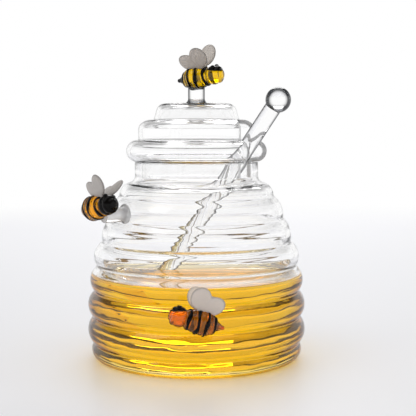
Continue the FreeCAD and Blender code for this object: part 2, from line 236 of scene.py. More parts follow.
def hive_outline(sizes):
    """The outside of the jar, from the middle of its foot to its rim."""
    grooves = []
    for k in range(GROOVES):
        height = sizes.first_groove + k * sizes.groove_pitch - k * (k - 1) / 2 * sizes.pitch_step
        share = (height - sizes.belly_height) / sizes.dome_rise
        grooves.append((sizes.groove_girth * math.sqrt(1 - share**2), height))
    crown_bow, crown_in, crown_up, hollow_bow, neck_up = 1.2, 4.0, 5.7, 0.7, 2.6
    bows = [sizes.rib_bow] * HIVE_RIBS + [sizes.shoulder_bow] * (GROOVES - HIVE_RIBS - 1)
    crown = (grooves[-1][0] - crown_in, grooves[-1][1] + crown_up)
    corners = [(0, 0), (sizes.foot_radius, 0, sizes.foot_bow)]
    corners += [(*groove, bow) for groove, bow in zip(grooves, [*bows, crown_bow])]
    corners.append((*crown, hollow_bow, True))
    corners += [(sizes.neck_radius, crown[1] + neck_up), (sizes.neck_radius, RIM)]
    return path(corners)


def lid_outline(sizes, neck_radius, wall):
    """The outside of the lid, from the foot of its skirt to the middle of its top."""
    lid_gap, skirt_gap, skirt_drop = 0.2, 0.9, 7.0
    ring_radius, ring_height, ring_bow = 27.5, 9.4, 4.3
    tier_height, tier_step, tier_bow = 5.5, 3.2, 1.3
    cap_height, cap_taper, cap_bow, flat_radius, flat_rise = 4.4, 1.2, 1.2, 12.6, 2.6
    foot = RIM + lid_gap
    skirt = neck_radius - wall - skirt_gap
    ring_top = foot + ring_height
    tier_top = ring_top + tier_height + tier_step
    cap_wall_top = tier_top + cap_height
    return path(
        [
            (skirt, foot - skirt_drop),
            (skirt, foot),
            (ring_radius, foot, ring_bow),
            (sizes.tier_radius, ring_top),
            (sizes.tier_radius, ring_top + tier_height, tier_bow),
            (sizes.cap_radius, tier_top),
            (sizes.cap_radius - cap_taper, cap_wall_top, cap_bow),
            (flat_radius, cap_wall_top + flat_rise),
            (0, cap_wall_top + flat_rise),
        ]
    )


# ---- node trees ----


def add_node(tree, kind, settings=None, links=None):
    """Adds a node with its settings, its socket values and the sockets that feed it."""
    node = tree.nodes.new(kind)
    for name, value in (settings or {}).items():
        setattr(node, name, value)
    for name, value in (links or {}).items():
        socket = node.inputs[name]
        if isinstance(value, bpy.types.NodeSocket):
            tree.links.new(value, socket)
        else:
            socket.default_value = value
    return node


def turning_tree():
    """Geometry nodes that turn an outline of points on the XZ plane once round the Z axis."""
    tree = bpy.data.node_groups.get("turned_glass")
    if tree:
        return tree
    tree = bpy.data.node_groups.new("turned_glass", "GeometryNodeTree")
    face = tree.interface
    face.new_socket("Outline", in_out="INPUT", socket_type="NodeSocketGeometry")
    face.new_socket("Steps round", in_out="INPUT", socket_type="NodeSocketInt")
    face.new_socket("Glass", in_out="INPUT", socket_type="NodeSocketMaterial")
    face.new_socket("Turning", in_out="OUTPUT", socket_type="NodeSocketGeometry")
    given = add_node(tree, "NodeGroupInput").outputs
    size = add_node(tree, "GeometryNodeAttributeDomainSize", None, {"Geometry": given[0]})
    count = size.outputs["Point Count"]
    rows = add_node(tree, "ShaderNodeMath", {"operation": "ADD"}, {0: given[1], 1: 1.0})
    grid = add_node(
        tree,
        "GeometryNodeMeshGrid",
        None,
        {
            "Size X": 1.0,
            "Size Y": 1.0,
            "Vertices X": count,
            "Vertices Y": rows.outputs[0],
        },
    )
    place = add_node(tree, "GeometryNodeInputPosition").outputs[0]
    split = add_node(tree, "ShaderNodeSeparateXYZ", None, {0: place}).outputs
    last = add_node(tree, "ShaderNodeMath", {"operation": "SUBTRACT"}, {0: count, 1: 1.0})
    share = add_node(tree, "ShaderNodeMath", {"operation": "ADD"}, {0: split["X"], 1: 0.5})
    column = add_node(
        tree, "ShaderNodeMath", {"operation": "MULTIPLY"}, {0: share.outputs[0], 1: last.outputs[0]}
    )
    column = add_node(tree, "ShaderNodeMath", {"operation": "ROUND"}, {0: column.outputs[0]})
    corner = add_node(
        tree,
        "GeometryNodeSampleIndex",
        {"data_type": "FLOAT_VECTOR", "domain": "POINT"},
        {"Geometry": given[0], "Value": place, "Index": column.outputs[0]},
    )
    turn = add_node(tree, "ShaderNodeMath", {"operation": "ADD"}, {0: split["Y"], 1: 0.5})
    turn = add_node(
        tree, "ShaderNodeMath", {"operation": "MULTIPLY"}, {0: turn.outputs[0], 1: math.tau}
    )
    turned = add_node(
        tree,
        "ShaderNodeVectorRotate",
        {"rotation_type": "Z_AXIS"},
        {"Vector": corner.outputs[0], "Angle": turn.outputs[0]},
    )
    moved = add_node(
        tree,
        "GeometryNodeSetPosition",
        None,
        {"Geometry": grid.outputs["Mesh"], "Position": turned.outputs[0]},
    )
    closed = add_node(
        tree, "GeometryNodeMergeByDistance", None, {"Geometry": moved.outputs[0], "Distance": 1e-6}
    )
    outward = add_node(tree, "GeometryNodeFlipFaces", None, {"Mesh": closed.outputs[0]})
    smooth = add_node(tree, "GeometryNodeSetShadeSmooth", None, {0: outward.outputs[0]})
    real = add_node(tree, "GeometryNodeRealizeInstances", None, {0: smooth.outputs[0]})
    finished = add_node(
        tree, "GeometryNodeSetMaterial", None, {"Geometry": real.outputs[0], "Material": given[2]}
    )
    add_node(tree, "NodeGroupOutput", None, {0: finished.outputs[0]})
    return tree


def baked(piece):
    """Makes a piece's modifiers part of its mesh, which keeps one material, and takes them off."""
    graph = bpy.context.evaluated_depsgraph_get()
    mesh = bpy.data.meshes.new_from_object(piece.evaluated_get(graph))
    piece.modifiers.clear()
    piece.data = mesh
    mesh.name = piece.name
    material = next(m for m in mesh.materials if m)
    mesh.materials.clear()
    mesh.materials.append(material)
    for face in mesh.polygons:
        face.material_index = 0
    return piece


def new_piece(name, mesh):
    """An object of this name and mesh, in the scene."""
    piece = bpy.data.objects.new(name, mesh)
    bpy.context.scene.collection.objects.link(piece)
    return piece


def turned(name, points, material, steps=JAR_STEPS):
    """A closed piece of an outline in millimetres, turned round the Z axis."""
    mesh = bpy.data.meshes.new(name)
    corners = [(r * MM, 0, z * MM) for r, z in points]
    mesh.from_pydata(corners, [(k, k + 1) for k in range(len(corners) - 1)], [])
    piece = new_piece(name, mesh)
    turning = piece.modifiers.new("turning", "NODES")
    turning.node_group = turning_tree()
    inputs = {
        item.name: item.identifier
        for item in turning.node_group.interface.items_tree
        if item.in_out == "INPUT"
    }
    turning[inputs["Steps round"]] = steps
    turning[inputs["Glass"]] = material
    return baked(piece)


def points_outwards(mesh):
    """Whether a closed mesh's faces point outwards, so that what they enclose counts above 0."""
    mesh.calc_loop_triangles()
    enclosed = 0.0
    for triangle in mesh.loop_triangles:
        a, b, c = (mesh.vertices[k].co for k in triangle.vertices)
        enclosed += a.dot(b.cross(c))
    return enclosed > 0


def finish_piece(piece, slot, *nodes):
    """Checks that a piece points outwards, and lets it stand for its nodes."""
    if not points_outwards(piece.data):
        raise RuntimeError(f"{piece.name} is inside out")
    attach(piece, "root")
    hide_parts(*nodes)
    return piece


# ---- materials ----


def new_material(name):
    """A material of this name with an empty tree, and that tree."""
    material = bpy.data.materials.get(name) or bpy.data.materials.new(name)
    material.use_nodes = True
    material.node_tree.nodes.clear()
    return material, material.node_tree


def painted_edge_shade(tree, centre, edge, start, end):
    """A painted shade: a colour that turns to the edge's where the surface is seen at a low angle,
    standing in for the dark room that glass bends and mirrors there.
    """
    facing = add_node(tree, "ShaderNodeLayerWeight", None, {"Blend": 0.5}).outputs["Facing"]
    share = add_node(
        tree,
        "ShaderNodeMapRange",
        {"interpolation_type": "SMOOTHSTEP"},
        {"Value": facing, "From Min": start, "From Max": end},
    ).outputs[0]
    mix = add_node(tree, "ShaderNodeMix", {"data_type": "RGBA"}, {0: share, 6: centre, 7: edge})
    return mix.outputs[2]


def wavy(tree, size, depth, across=1.0):
    """The slight waves that a surface keeps from the flame, of a size and depth in millimetres.

    With a small share across, they stretch into level rings, as on glass that was turned.
    """
    spot = add_node(tree, "ShaderNodeTexCoord").outputs["Object"]
    stretched = add_node(
        tree, "ShaderNodeMapping", None, {"Vector": spot, "Scale": (across, across, 1)}
    )
    waves = add_node(
        tree,
        "ShaderNodeTexNoise",
        None,
        {"Vector": stretched.outputs[0], "Scale": 1 / (size * MM), "Detail": 1.0},
    )
    bump = add_node(
        tree,
        "ShaderNodeBump",
        None,
        {"Height": waves.outputs[0], "Distance": depth * MM, "Strength": 1.0},
    )
    return bump.outputs[0]


def lets_lamps_through(tree, shader, volume=None, shade="f7f7f8"):
    """The output of a glass that a lamp's light passes, so that its shadow stays light."""
    rays = add_node(tree, "ShaderNodeLightPath").outputs
    clear = add_node(tree, "ShaderNodeBsdfTransparent", None, {"Color": (*linear(shade), 1)})
    mix = add_node(
        tree,
        "ShaderNodeMixShader",
        None,
        {0: rays["Is Shadow Ray"], 1: shader, 2: clear.outputs[0]},
    )
    links = {"Surface": mix.outputs[0]}
    if volume:
        links["Volume"] = volume
    add_node(tree, "ShaderNodeOutputMaterial", None, links)


def borosilicate(name, edge, slant, ior=1.47, foot=None, clear=1.0, waves=(9.0, 0.03)):
    """Clear borosilicate glass, blown and fire polished: smooth, with a slight wave and painted dark
    edges.

    Its dark edges are painted shade: it takes the edge's colour between two shares of slant, and lets
    this clear share of light through. Where a foot colour is given, the glass turns to it near the
    table, a painted honey glow. Its waves are a size, a depth and a share across.
    """
    foot_top, foot_low = 4.5 * MM, 2.5 * MM
    material, tree = new_material(name)
    centre = (1, 1, 1, 1)
    # painted light: near the table the clear glass turns to the foot glow colour
    if foot is not None:
        spot = add_node(tree, "ShaderNodeTexCoord").outputs["Object"]
        up = add_node(tree, "ShaderNodeSeparateXYZ", None, {0: spot}).outputs["Z"]
        low = add_node(
            tree,
            "ShaderNodeMapRange",
            {"interpolation_type": "SMOOTHSTEP"},
            {"Value": up, "From Min": foot_top, "From Max": foot_low},
        ).outputs[0]
        centre = add_node(
            tree, "ShaderNodeMix", {"data_type": "RGBA"}, {0: low, 6: centre, 7: foot}
        ).outputs[2]
    glass = add_node(
        tree,
        "ShaderNodeBsdfPrincipled",
        None,
        {
            "Base Color": painted_edge_shade(tree, centre, edge, *slant),
            "Roughness": 0.0,
            "IOR": ior,
            "Transmission Weight": clear,
            "Normal": wavy(tree, *waves),
        },
    )
    lets_lamps_through(tree, glass.outputs[0])
    return material


def wetted_glass():
    """Glass with honey against it: honey bends light as the glass does, so nothing shows there."""
    material, tree = new_material("wetted_borosilicate")
    glass = add_node(
        tree,
        "ShaderNodeBsdfPrincipled",
        None,
        {
            "Base Color": (1, 1, 1, 1),
            "Roughness": 0.0,
            "IOR": 1.0,
            "Transmission Weight": 1.0,
            "Specular IOR Level": 0.0,
        },
    )
    lets_lamps_through(tree, glass.outputs[0])
    return material


def honey_material(lit):
    """Clear golden honey: it takes the blue out of light within a few millimetres.

    Against the glass it bends no light and scatters a little, and its open top mirrors the room.
    """
    material, tree = new_material("golden_honey")
    against_glass = add_node(
        tree,
        "ShaderNodeBsdfPrincipled",
        None,
        {
            "Base Color": lit,
            "Roughness": 0.0,
            "IOR": 1.0,
            "Transmission Weight": 0.965,
            "Specular IOR Level": 0.0,
        },
    )
    open_top = add_node(
        tree,
        "ShaderNodeBsdfPrincipled",
        None,
        {
            "Base Color": (1, 1, 1, 1),
            "Roughness": 0.0,
            "IOR": 1.49,
            "Transmission Weight": 1.0,
        },
    )
    surface = add_node(tree, "ShaderNodeAttribute", {"attribute_name": "open_surface"})
    body = add_node(
        tree,
        "ShaderNodeMixShader",
        None,
        {0: surface.outputs["Fac"], 1: against_glass.outputs[0], 2: open_top.outputs[0]},
    )
    passed_on = (0.996, 0.897, 0.02, 1)  # shares of red, green and blue, for the absorption
    depth = add_node(
        tree, "ShaderNodeVolumeAbsorption", None, {"Color": passed_on, "Density": 47.0}
    )
    lets_lamps_through(tree, body.outputs[0], depth.outputs[0], "ede5df")
    return material


def bee_glass(name, amber, black):
    """Amber lampwork glass with black bands laid in: glossy, with painted shade that deepens the
    amber where it is seen edge on.
    """
    streak_size = 1.6 * MM
    material, tree = new_material(name)
    band = add_node(tree, "ShaderNodeAttribute", {"attribute_name": "black_glass"}).outputs["Fac"]
    spot = add_node(tree, "ShaderNodeTexCoord").outputs["Object"]
    streaks = add_node(
        tree, "ShaderNodeTexNoise", None, {"Vector": spot, "Scale": 1 / streak_size, "Detail": 3.0}
    )
    band = add_node(
        tree,
        "ShaderNodeMath",
        {"operation": "MULTIPLY_ADD"},
        {0: streaks.outputs[0], 1: 0.5, 2: band},
    )
    band = add_node(
        tree,
        "ShaderNodeMapRange",
        {"interpolation_type": "SMOOTHSTEP"},
        {"Value": band.outputs[0], "From Min": 0.55, "From Max": 0.95},
    )
    # painted shade: the amber turns to about a third of itself where the body is seen edge on
    amber_edge_shade = tuple(c * 0.35 for c in amber[:3]) + (1,)
    lit = painted_edge_shade(tree, amber, amber_edge_shade, 0.35, 0.95)
    colour = add_node(
        tree, "ShaderNodeMix", {"data_type": "RGBA"}, {0: band.outputs[0], 6: lit, 7: black}
    )
    clear = add_node(
        tree, "ShaderNodeMapRange", None, {"Value": band.outputs[0], "To Min": 0.88, "To Max": 0.0}
    )
    glass = add_node(
        tree,
        "ShaderNodeBsdfPrincipled",
        None,
        {
            "Base Color": colour.outputs[2],
            "Roughness": 0.0,
            "IOR": 1.5,
            "Transmission Weight": clear.outputs[0],
            "Specular IOR Level": 0.12,
            "Normal": wavy(tree, 2.6, 0.10),
        },
    )
    add_node(tree, "ShaderNodeOutputMaterial", None, {"Surface": glass.outputs[0]})
    return material


def milky_glass(name, milk_with_painted_light):
    """Milky lampwork glass, pressed flat: it scatters light, and its rim is a little darker."""
    material, tree = new_material(name)
    rim = add_node(tree, "ShaderNodeAttribute", {"attribute_name": "rim"}).outputs["Fac"]
    dark = tuple(c * 0.55 for c in milk_with_painted_light[:3]) + (1,)
    colour = add_node(tree, "ShaderNodeMix", {"data_type": "RGBA"}, {0: rim, 6: milk_with_painted_light, 7: dark})
    glass = add_node(
        tree,
        "ShaderNodeBsdfPrincipled",
        None,
        {
            "Base Color": colour.outputs[2],
            "Roughness": 0.25,
            "IOR": 1.5,
            "Transmission Weight": 0.35,
            "Normal": wavy(tree, 1.5, 0.04),
        },
    )
    add_node(tree, "ShaderNodeOutputMaterial", None, {"Surface": glass.outputs[0]})
    return material


# ---- operators ----


class HONEYJAR_OT_jar(Operator):
    """Turns the ribbed jar of clear glass"""

    bl_idname = "honeyjar.jar"
    bl_label = "Jar"

    def execute(self, context):
        sizes, colours = context.scene.hive_sizes, context.scene.jar_colours
        glass = borosilicate(
            "borosilicate_jar", colours.glass_edge_shade, (0.82, 1.0), waves=(3.2, 0.42, 0.03)
        )
        # below the honey the glass carries painted shade, brown at its edges, and painted light, a
        # honey glow at its foot
        filled = borosilicate(
            "borosilicate_filled",
            colours.honey_edge_shade,
            (0.35, 0.85),
            ior=1.42,
            foot=colours.painted_foot_glow,
            waves=(5.0, 0.35, 0.35),
        )
        outer = softened(hive_outline(sizes), sizes.softness)
        inner = inside(outer, sizes.wall)
        inner = inner[inner[:, 1] > sizes.floor]
        inner = np.concatenate(([(inner[0][0], sizes.floor)], inner))
        whole = np.concatenate((outer, inner[::-1], [(0, sizes.floor)]))
        piece = turned("glass_jar", thinned(softened(whole, MELT["rim"])), glass)
        piece.data.materials.append(wetted_glass())
        piece.data.materials.append(filled)
        for face in piece.data.polygons:
            x, y, z = face.center / MM
            wall_radius = np.interp(z, outer[:, 1], outer[:, 0])
            if z < HONEY_LEVEL + CLIMB:
                within = math.hypot(x, y) < wall_radius - sizes.wall / 2 and z > sizes.floor / 2
                face.material_index = WETTED if within else TINTED
        finish_piece(piece, "clear_glass", "jar")
        return {"FINISHED"}


class HONEYJAR_OT_honey(Operator):
    """Fills the jar with honey that reaches just into the wall, and climbs a little up it"""

    bl_idname = "honeyjar.honey"
    bl_label = "Honey"

    def execute(self, context):
        sizes = context.scene.hive_sizes
        into_wall, into_dipper, climb_width = 0.15, 0.12, 1.3
        honey = honey_material(context.scene.jar_colours.lit_honey)
        outer = softened(hive_outline(sizes), sizes.softness)
        side = inside(outer, sizes.wall - into_wall)
        low = sizes.floor - into_wall
        side = side[(side[:, 1] > low) & (side[:, 1] < HONEY_LEVEL + CLIMB)]
        reach = side[-1][0]
        across = np.linspace(reach, 0, 300)
        rise = HONEY_LEVEL + CLIMB * np.exp(-(reach - across) / climb_width)
        top = np.stack((across, rise), 1)
        whole = np.concatenate(([(0, low), (side[0][0], low)], side, top[1:]))
        piece = turned("honey_fill", thinned(spaced(whole)), honey)
        outline = dipper_points(context, into_dipper)
        head = turned("dipper_room", thinned(outline), honey, SMALL_STEPS)
        head.data.transform(dipper_place(context))
        room = piece.modifiers.new("dipper room", "BOOLEAN")
        room.operation, room.solver, room.object = "DIFFERENCE", "EXACT", head
        baked(piece)
        bpy.data.objects.remove(head)
        surface = piece.data.attributes.new("open_surface", "FLOAT", "FACE")
        for face in piece.data.polygons:
            is_open = face.center.z > (HONEY_LEVEL - 0.05) * MM and face.normal.z > 0.2
            surface.data[face.index].value = float(is_open)
        finish_piece(piece, "honey", "honey")
        return {"FINISHED"}


class HONEYJAR_OT_lid(Operator):
    """Turns the stepped lid and cuts its notch, whose edge ends in a polished bead"""

    bl_idname = "honeyjar.lid"
    bl_label = "Lid"

    def execute(self, context):
        sizes, hive = context.scene.lid_sizes, context.scene.hive_sizes
        edge = context.scene.jar_colours.glass_edge_shade
        glass = borosilicate("borosilicate_lid", edge, (0.76, 1.0))
        outer = softened(lid_outline(sizes, hive.neck_radius, hive.wall), MELT["lid"])
        inner = inside(outer, sizes.wall)
        whole = np.concatenate((outer[::-1], inner))
        piece = turned("glass_lid", thinned(softened(whole, MELT["skirt"])), glass)
        heading = sizes.notch_heading
        way = Vector((math.cos(heading), math.sin(heading), 0))
        aside = Vector((-way.y, way.x, 0))
        cutter = notch_cutter(sizes, way, aside)
        notch = piece.modifiers.new("notch", "BOOLEAN")
        notch.operation, notch.solver, notch.object = "DIFFERENCE", "EXACT", cutter
        bead = notch_bead(sizes, inside(outer, sizes.wall / 2), way)
        melt = piece.modifiers.new("bead", "BOOLEAN")
        melt.operation, melt.solver, melt.object = "UNION", "EXACT", bead
        baked(piece)
        bpy.data.objects.remove(cutter)
        bpy.data.objects.remove(bead)
        piece.data.materials.append(borosilicate("borosilicate_bead", edge, (0.5, 1.05), clear=0.4))
        on_bead = sizes.bead * 1.02
        for face in piece.data.polygons:
            face.use_smooth = True
            out, off = face.center.dot(way) / MM, face.center.dot(aside) / MM
            from_edge = math.hypot(min(0.0, out - sizes.notch_reach), off) - sizes.notch_radius
            face.material_index = int(out > 0 and abs(from_edge) < on_bead)
        finish_piece(piece, "clear_glass", "lid")
        return {"FINISHED"}


def notch_bead(sizes, middle, way):
    """The round bead that the flame leaves along the notch's edge, in the middle of the wall."""
    reach, radius = sizes.notch_reach, sizes.notch_radius
    every = 4  # each fourth point of the wall's middle is enough for the bead's line
    edge = []
    for r, z in middle:
        if r <= reach - radius:
            break
        turn = math.acos(min(1.0, (r * r + reach**2 - radius**2) / (2 * r * reach)))
        if r * math.cos(turn) > reach:
            turn = math.asin(radius / r)
        edge.append((r, turn, z))
    heading = math.atan2(way.y, way.x)
    route = [(r, heading + turn, z) for r, turn, z in edge[::every]]
    route += [(r, heading - turn, z) for r, turn, z in edge[::-every]]
    curve = bpy.data.curves.new("notch_bead", "CURVE")
    curve.dimensions, curve.bevel_depth = "3D", sizes.bead * MM
    curve.bevel_resolution, curve.use_fill_caps = 4, True
    line = curve.splines.new("POLY")
    line.points.add(len(route) - 1)
    for point, (r, angle, z) in zip(line.points, route):
        point.co = (r * math.cos(angle) * MM, r * math.sin(angle) * MM, z * MM, 1)
    source = new_piece("notch_bead_line", curve)
    graph = bpy.context.evaluated_depsgraph_get()
    bead = new_piece("notch_bead", bpy.data.meshes.new_from_object(source.evaluated_get(graph)))
    bpy.data.objects.remove(source)
    return bead


def notch_cutter(sizes, way, aside):
    """The room of the notch: a slot with a round end, as a closed prism."""
    past_lid, low, high = 20, RIM - 9.0, RIM + 18.3
    middle = way * sizes.notch_reach
    ring = [
        middle + sizes.notch_radius * (-math.cos(a) * way - math.sin(a) * aside)
        for a in np.linspace(-math.pi / 2, math.pi / 2, 65)
    ]
    ring += [ring[-1] + way * past_lid, ring[0] + way * past_lid]
    corners = [(p.x * MM, p.y * MM, z * MM) for z in (low, high) for p in ring]
    count = len(ring)
    faces = [[k, (k + 1) % count, count + (k + 1) % count, count + k] for k in range(count)]
    faces += [list(range(count))[::-1], list(range(count, 2 * count))]
    mesh = bpy.data.meshes.new("notch_room")
    mesh.from_pydata(corners, [], faces)
    piece = new_piece("notch_room", mesh)
    if not points_outwards(mesh):
        mesh.flip_normals()
    return piece


def dipper_points(context, inset=0.0):
    """The dipper's outline from its tip to the top of its ball, drawn in by so much."""
    sizes = context.scene.dipper_sizes
    head_top = sizes.ridges * sizes.ridge_pitch
    sunk = math.sqrt(sizes.ball_radius**2 - sizes.rod_radius**2)
    corners = [(0, 0)]
    for k in range(sizes.ridges):
        corners.append((sizes.root_radius, k * sizes.ridge_pitch, sizes.ridge_bow))
    corners += [(sizes.root_radius, head_top), (sizes.rod_radius, head_top)]
    corners.append((sizes.rod_radius, sizes.length - sunk))
    turns = np.linspace(math.asin(-sunk / sizes.ball_radius), math.pi / 2, 160)
    ball = np.stack((np.cos(turns), np.sin(turns)), 1) * sizes.ball_radius
    ball[:, 1] += sizes.length
    ball[-1][0] = 0
    whole = softened(np.concatenate((path(corners), ball[1:])), MELT["dipper"])
    if inset:
        inner = inside(whole, inset)
        whole = np.concatenate(([(0, inner[0][1])], inner[1:-1], [(0, inner[-1][1])]))
    return whole


def dipper_place(context):
    """How the dipper stands: tip down by the far wall, leaning in the notch just clear of the rim."""
    sizes, hive = context.scene.dipper_sizes, context.scene.hive_sizes
    lean, heading = math.radians(36.0), math.radians(-30.0)
    rim_gap, tip_gap = 0.3, 0.6
    out = Vector((math.cos(heading), math.sin(heading), 0))
    along = out * math.sin(lean) + Vector((0, 0, math.cos(lean)))
    reach = hive.neck_radius - hive.wall - rim_gap - sizes.rod_radius / math.cos(lean)
    at_rim = out * reach + Vector((0, 0, RIM))
    tip_height = hive.floor + tip_gap + sizes.root_radius * math.sin(lean)
    tip = at_rim - along * ((at_rim.z - tip_height) / math.cos(lean))
    axis = Vector((0, 0, 1)).cross(out)
    return Matrix.Translation(tip * MM) @ Matrix.Rotation(lean, 4, axis)


class HONEYJAR_OT_dipper(Operator):
    """Turns the dipper of clear glass and leans it in the notch"""

    bl_idname = "honeyjar.dipper"
    bl_label = "Dipper"

    def execute(self, context):
        sizes, place = context.scene.dipper_sizes, dipper_place(context)
        edge = context.scene.jar_colours.glass_edge_shade
        glass = borosilicate("borosilicate_rod", edge, (0.26, 0.62))
        piece = turned("glass_dipper", thinned(dipper_points(context)), glass, ROD_STEPS)
        piece.data.transform(place)
        piece.data.materials.append(wetted_glass())
        piece.data.materials.append(borosilicate("borosilicate_ball", edge, (0.08, 0.34)))
        middle = place @ Vector((0, 0, sizes.length * MM))
        on_ball = sizes.ball_radius * 1.02 * MM
        for face in piece.data.polygons:
            if face.center.z < HONEY_LEVEL * MM:
                face.material_index = WETTED
            elif (face.center - middle).length < on_ball:
                face.material_index = TINTED
        finish_piece(piece, "clear_glass", "dipper")
        return {"FINISHED"}


def hive_radius(context, height):
    """The outer radius of the jar at a height."""
    outline = hive_outline(context.scene.hive_sizes)
    outline = outline[outline[:, 0] > 20]  # without the flat middle of the foot
    return float(np.interp(height, outline[:, 1], outline[:, 0]))


class Post(NamedTuple):
    """A bee's clear post: its place, its size and how its glass looks, in degrees and millimetres."""

    heading: float
    height: float
    reach: float
    radius: float
    flare: float
    clear: float = 0.55
    # where the painted edge shade begins, as a share of slant
    edge_shade_from: float = 0.45


class Bee(NamedTuple):
    """A bee's place and turn, in degrees and millimetres, and its glass."""

    heading: float
    standoff: float  # from the jar's wall, and None for the bee that stands on the lid
    height: float
    turn: tuple  # yaw, pitch and roll
    wings: tuple  # splay, shift towards the head and share of the full size
    amber: str
    # milky colour of its wings, painted lighter or darker for how that bee's wings are lit
    milk_with_painted_light: str
    darks: tuple  # how black its head, its tail and its belly are
    post: Post


BEES = {
    "top": Bee(
        heading=0,
        standoff=None,
        height=122.55,
        turn=(-30, 7, 10),
        wings=(30, 0.2, 0.98),
        amber="ffcc00",
        milk_with_painted_light="dcd4cc",
        darks=(0.5, 1.0, 0.8),
        post=Post(0, 111.45, reach=9.5, radius=3.7, flare=1.3, clear=1.0, edge_shade_from=0.12),
    ),
    "side": Bee(
        heading=214.5,
        standoff=12.6,
        height=68.1,
        turn=(-50, 11, -12),
        wings=(33, 2.8, 0.87),
        amber="ffaa00",
        milk_with_painted_light="d2ccc7",
        darks=(1.0, 0.0, 0.0),
        post=Post(217.5, 65.0, reach=10.2, radius=3.1, flare=1.2),
    ),
    "front": Bee(
        heading=271.9,
        standoff=7.8,
        height=25.5,
        turn=(188, 16, 8),
        wings=(30, -1.8, 1.0),
        amber="ff9600",
        milk_with_painted_light="f8efe7",
        darks=(0.35, 0.3, 0.0),
        post=Post(271.9, 25.5, reach=6.3, radius=2.6, flare=0.8),
    ),
}

# a bee's body, in millimetres forwards from its middle
STING, NOSE = -8.6, 13.3
# middle, half length and radius of each part
ABDOMEN, THORAX, HEAD = (0.0, 6.7, 5.1), (4.4, 4.0, 4.1), (9.1, 4.2, 3.8)
BANDED = ((ABDOMEN, -0.78), (ABDOMEN, -0.26), (ABDOMEN, 0.27), (THORAX, 0.27))
BANDS = tuple(middle + share * half for (middle, half, _), share in BANDED)
# middle and radius of the two knobs of its antennae and of its sting
KNOBS = (((9.9, 1.9, 3.4), 1.0), ((9.9, -1.9, 3.4), 1.0), ((STING, 0, 0), 0.9))


def bee_place(context, bee):
    """Where a bee stands and how it is turned."""
    middle = Vector((0, 0, bee.height))
    if bee.standoff is not None:
        radius = hive_radius(context, bee.post.height) + bee.standoff
        turn = math.radians(bee.heading)
        middle += Vector((math.cos(turn), math.sin(turn), 0)) * radius
    place = Matrix.Translation(middle * MM)
    yaw, pitch, roll = bee.turn
    for angle, axis in ((yaw, "Z"), (-pitch, "Y"), (roll, "X")):
        place = place @ Matrix.Rotation(math.radians(angle), 4, axis)
    return place


def girth(part, share, ahead=0.0):
    """A part's radius and place at a share of its half length, and so far ahead of that."""
    middle, half, radius = part
    off = share * half + ahead
    return radius * math.sqrt(1 - (off / half) ** 2), middle + off


def bee_points():
    """A bee's outline from its sting to its nose."""
    band_half, band_bow, gap_bow, head_bow, nose_bow = 0.75, 0.45, 0.2, 0.7, 0.28
    corners = [(0, STING), (0.7, STING)]
    for part, share in BANDED:
        corners.append((*girth(part, share, -band_half), band_bow))
        corners.append((*girth(part, share, band_half), gap_bow))
    corners[-1] = corners[-1][:2]
    corners += [(*girth(HEAD, share), head_bow) for share in (-0.53, 0.3)]
    corners.append((*girth(HEAD, 0.8), nose_bow))
    corners += [(0.9, NOSE), (0, NOSE)]
    return softened(path(corners), MELT["bee"])


def black_glass(spot, dark_head, dark_tail, dark_belly):
    """How black a bee's glass is at a place: in its bands, knobs, head, tail and belly."""
    x, y, z = (c / MM for c in spot)
    knobs_from, head_from, tail_to = (8.7, 3.3), 6.9, -5
    if x > knobs_from[0] and z > knobs_from[1]:
        return 1.0
    sway = 0.3 * math.sin(3 * math.atan2(y, z) + x)
    share = max(max(0.0, 1.25 - abs(x + sway - band)) for band in BANDS)
    if x > head_from:
        crown = max(0.0, min(1.0, (z - 1.6 + 0.25 * (x - 9)) / 1.4))
        share = max(crown, min(1.0, dark_head * 1.2 - 0.35))
    if x < tail_to:
        share = max(share, dark_tail)
    share = max(share, dark_belly * max(0.0, min(1.0, (-z - 3.0) / 1.2)))
    return min(1.0, share)


class HONEYJAR_OT_bees(Operator):
    """Makes the three banded bees with their antennae"""

    bl_idname = "honeyjar.bees"
    bl_label = "Bees"

    def execute(self, context):
        black = context.scene.jar_colours.black
        for kind, bee in BEES.items():
            glass = bee_glass(f"amber_lampwork_{kind}", (*linear(bee.amber), 1), black)
            piece = turned(f"{kind}_bee", thinned(bee_points()), glass, SMALL_STEPS)
            mesh = piece.data
            mesh.transform(Matrix.Rotation(math.pi / 2, 4, "Y"))
            with_balls(mesh, KNOBS, glass)
            band = mesh.attributes.new("black_glass", "FLOAT", "POINT")
            for vertex in mesh.vertices:
                band.data[vertex.index].value = black_glass(vertex.co, *bee.darks)
            mesh.transform(bee_place(context, bee))
            finish_piece(piece, "amber_glass", f"{kind}_bee_body")
        return {"FINISHED"}


def with_balls(mesh, balls, glass):
    """Melts small balls of glass onto a mesh."""
    turns = np.linspace(-math.pi / 2, math.pi / 2, 13)
    half_circle = np.stack((np.cos(turns), np.sin(turns)), 1)
    body = bmesh.new()
    body.from_mesh(mesh)
    for middle, radius in balls:
        ball = turned("ball", radius * half_circle, glass, 20)
        ball.data.transform(Matrix.Translation(Vector(middle) * MM))
        body.from_mesh(ball.data)
        bpy.data.objects.remove(ball)
    body.to_mesh(mesh)
    body.free()


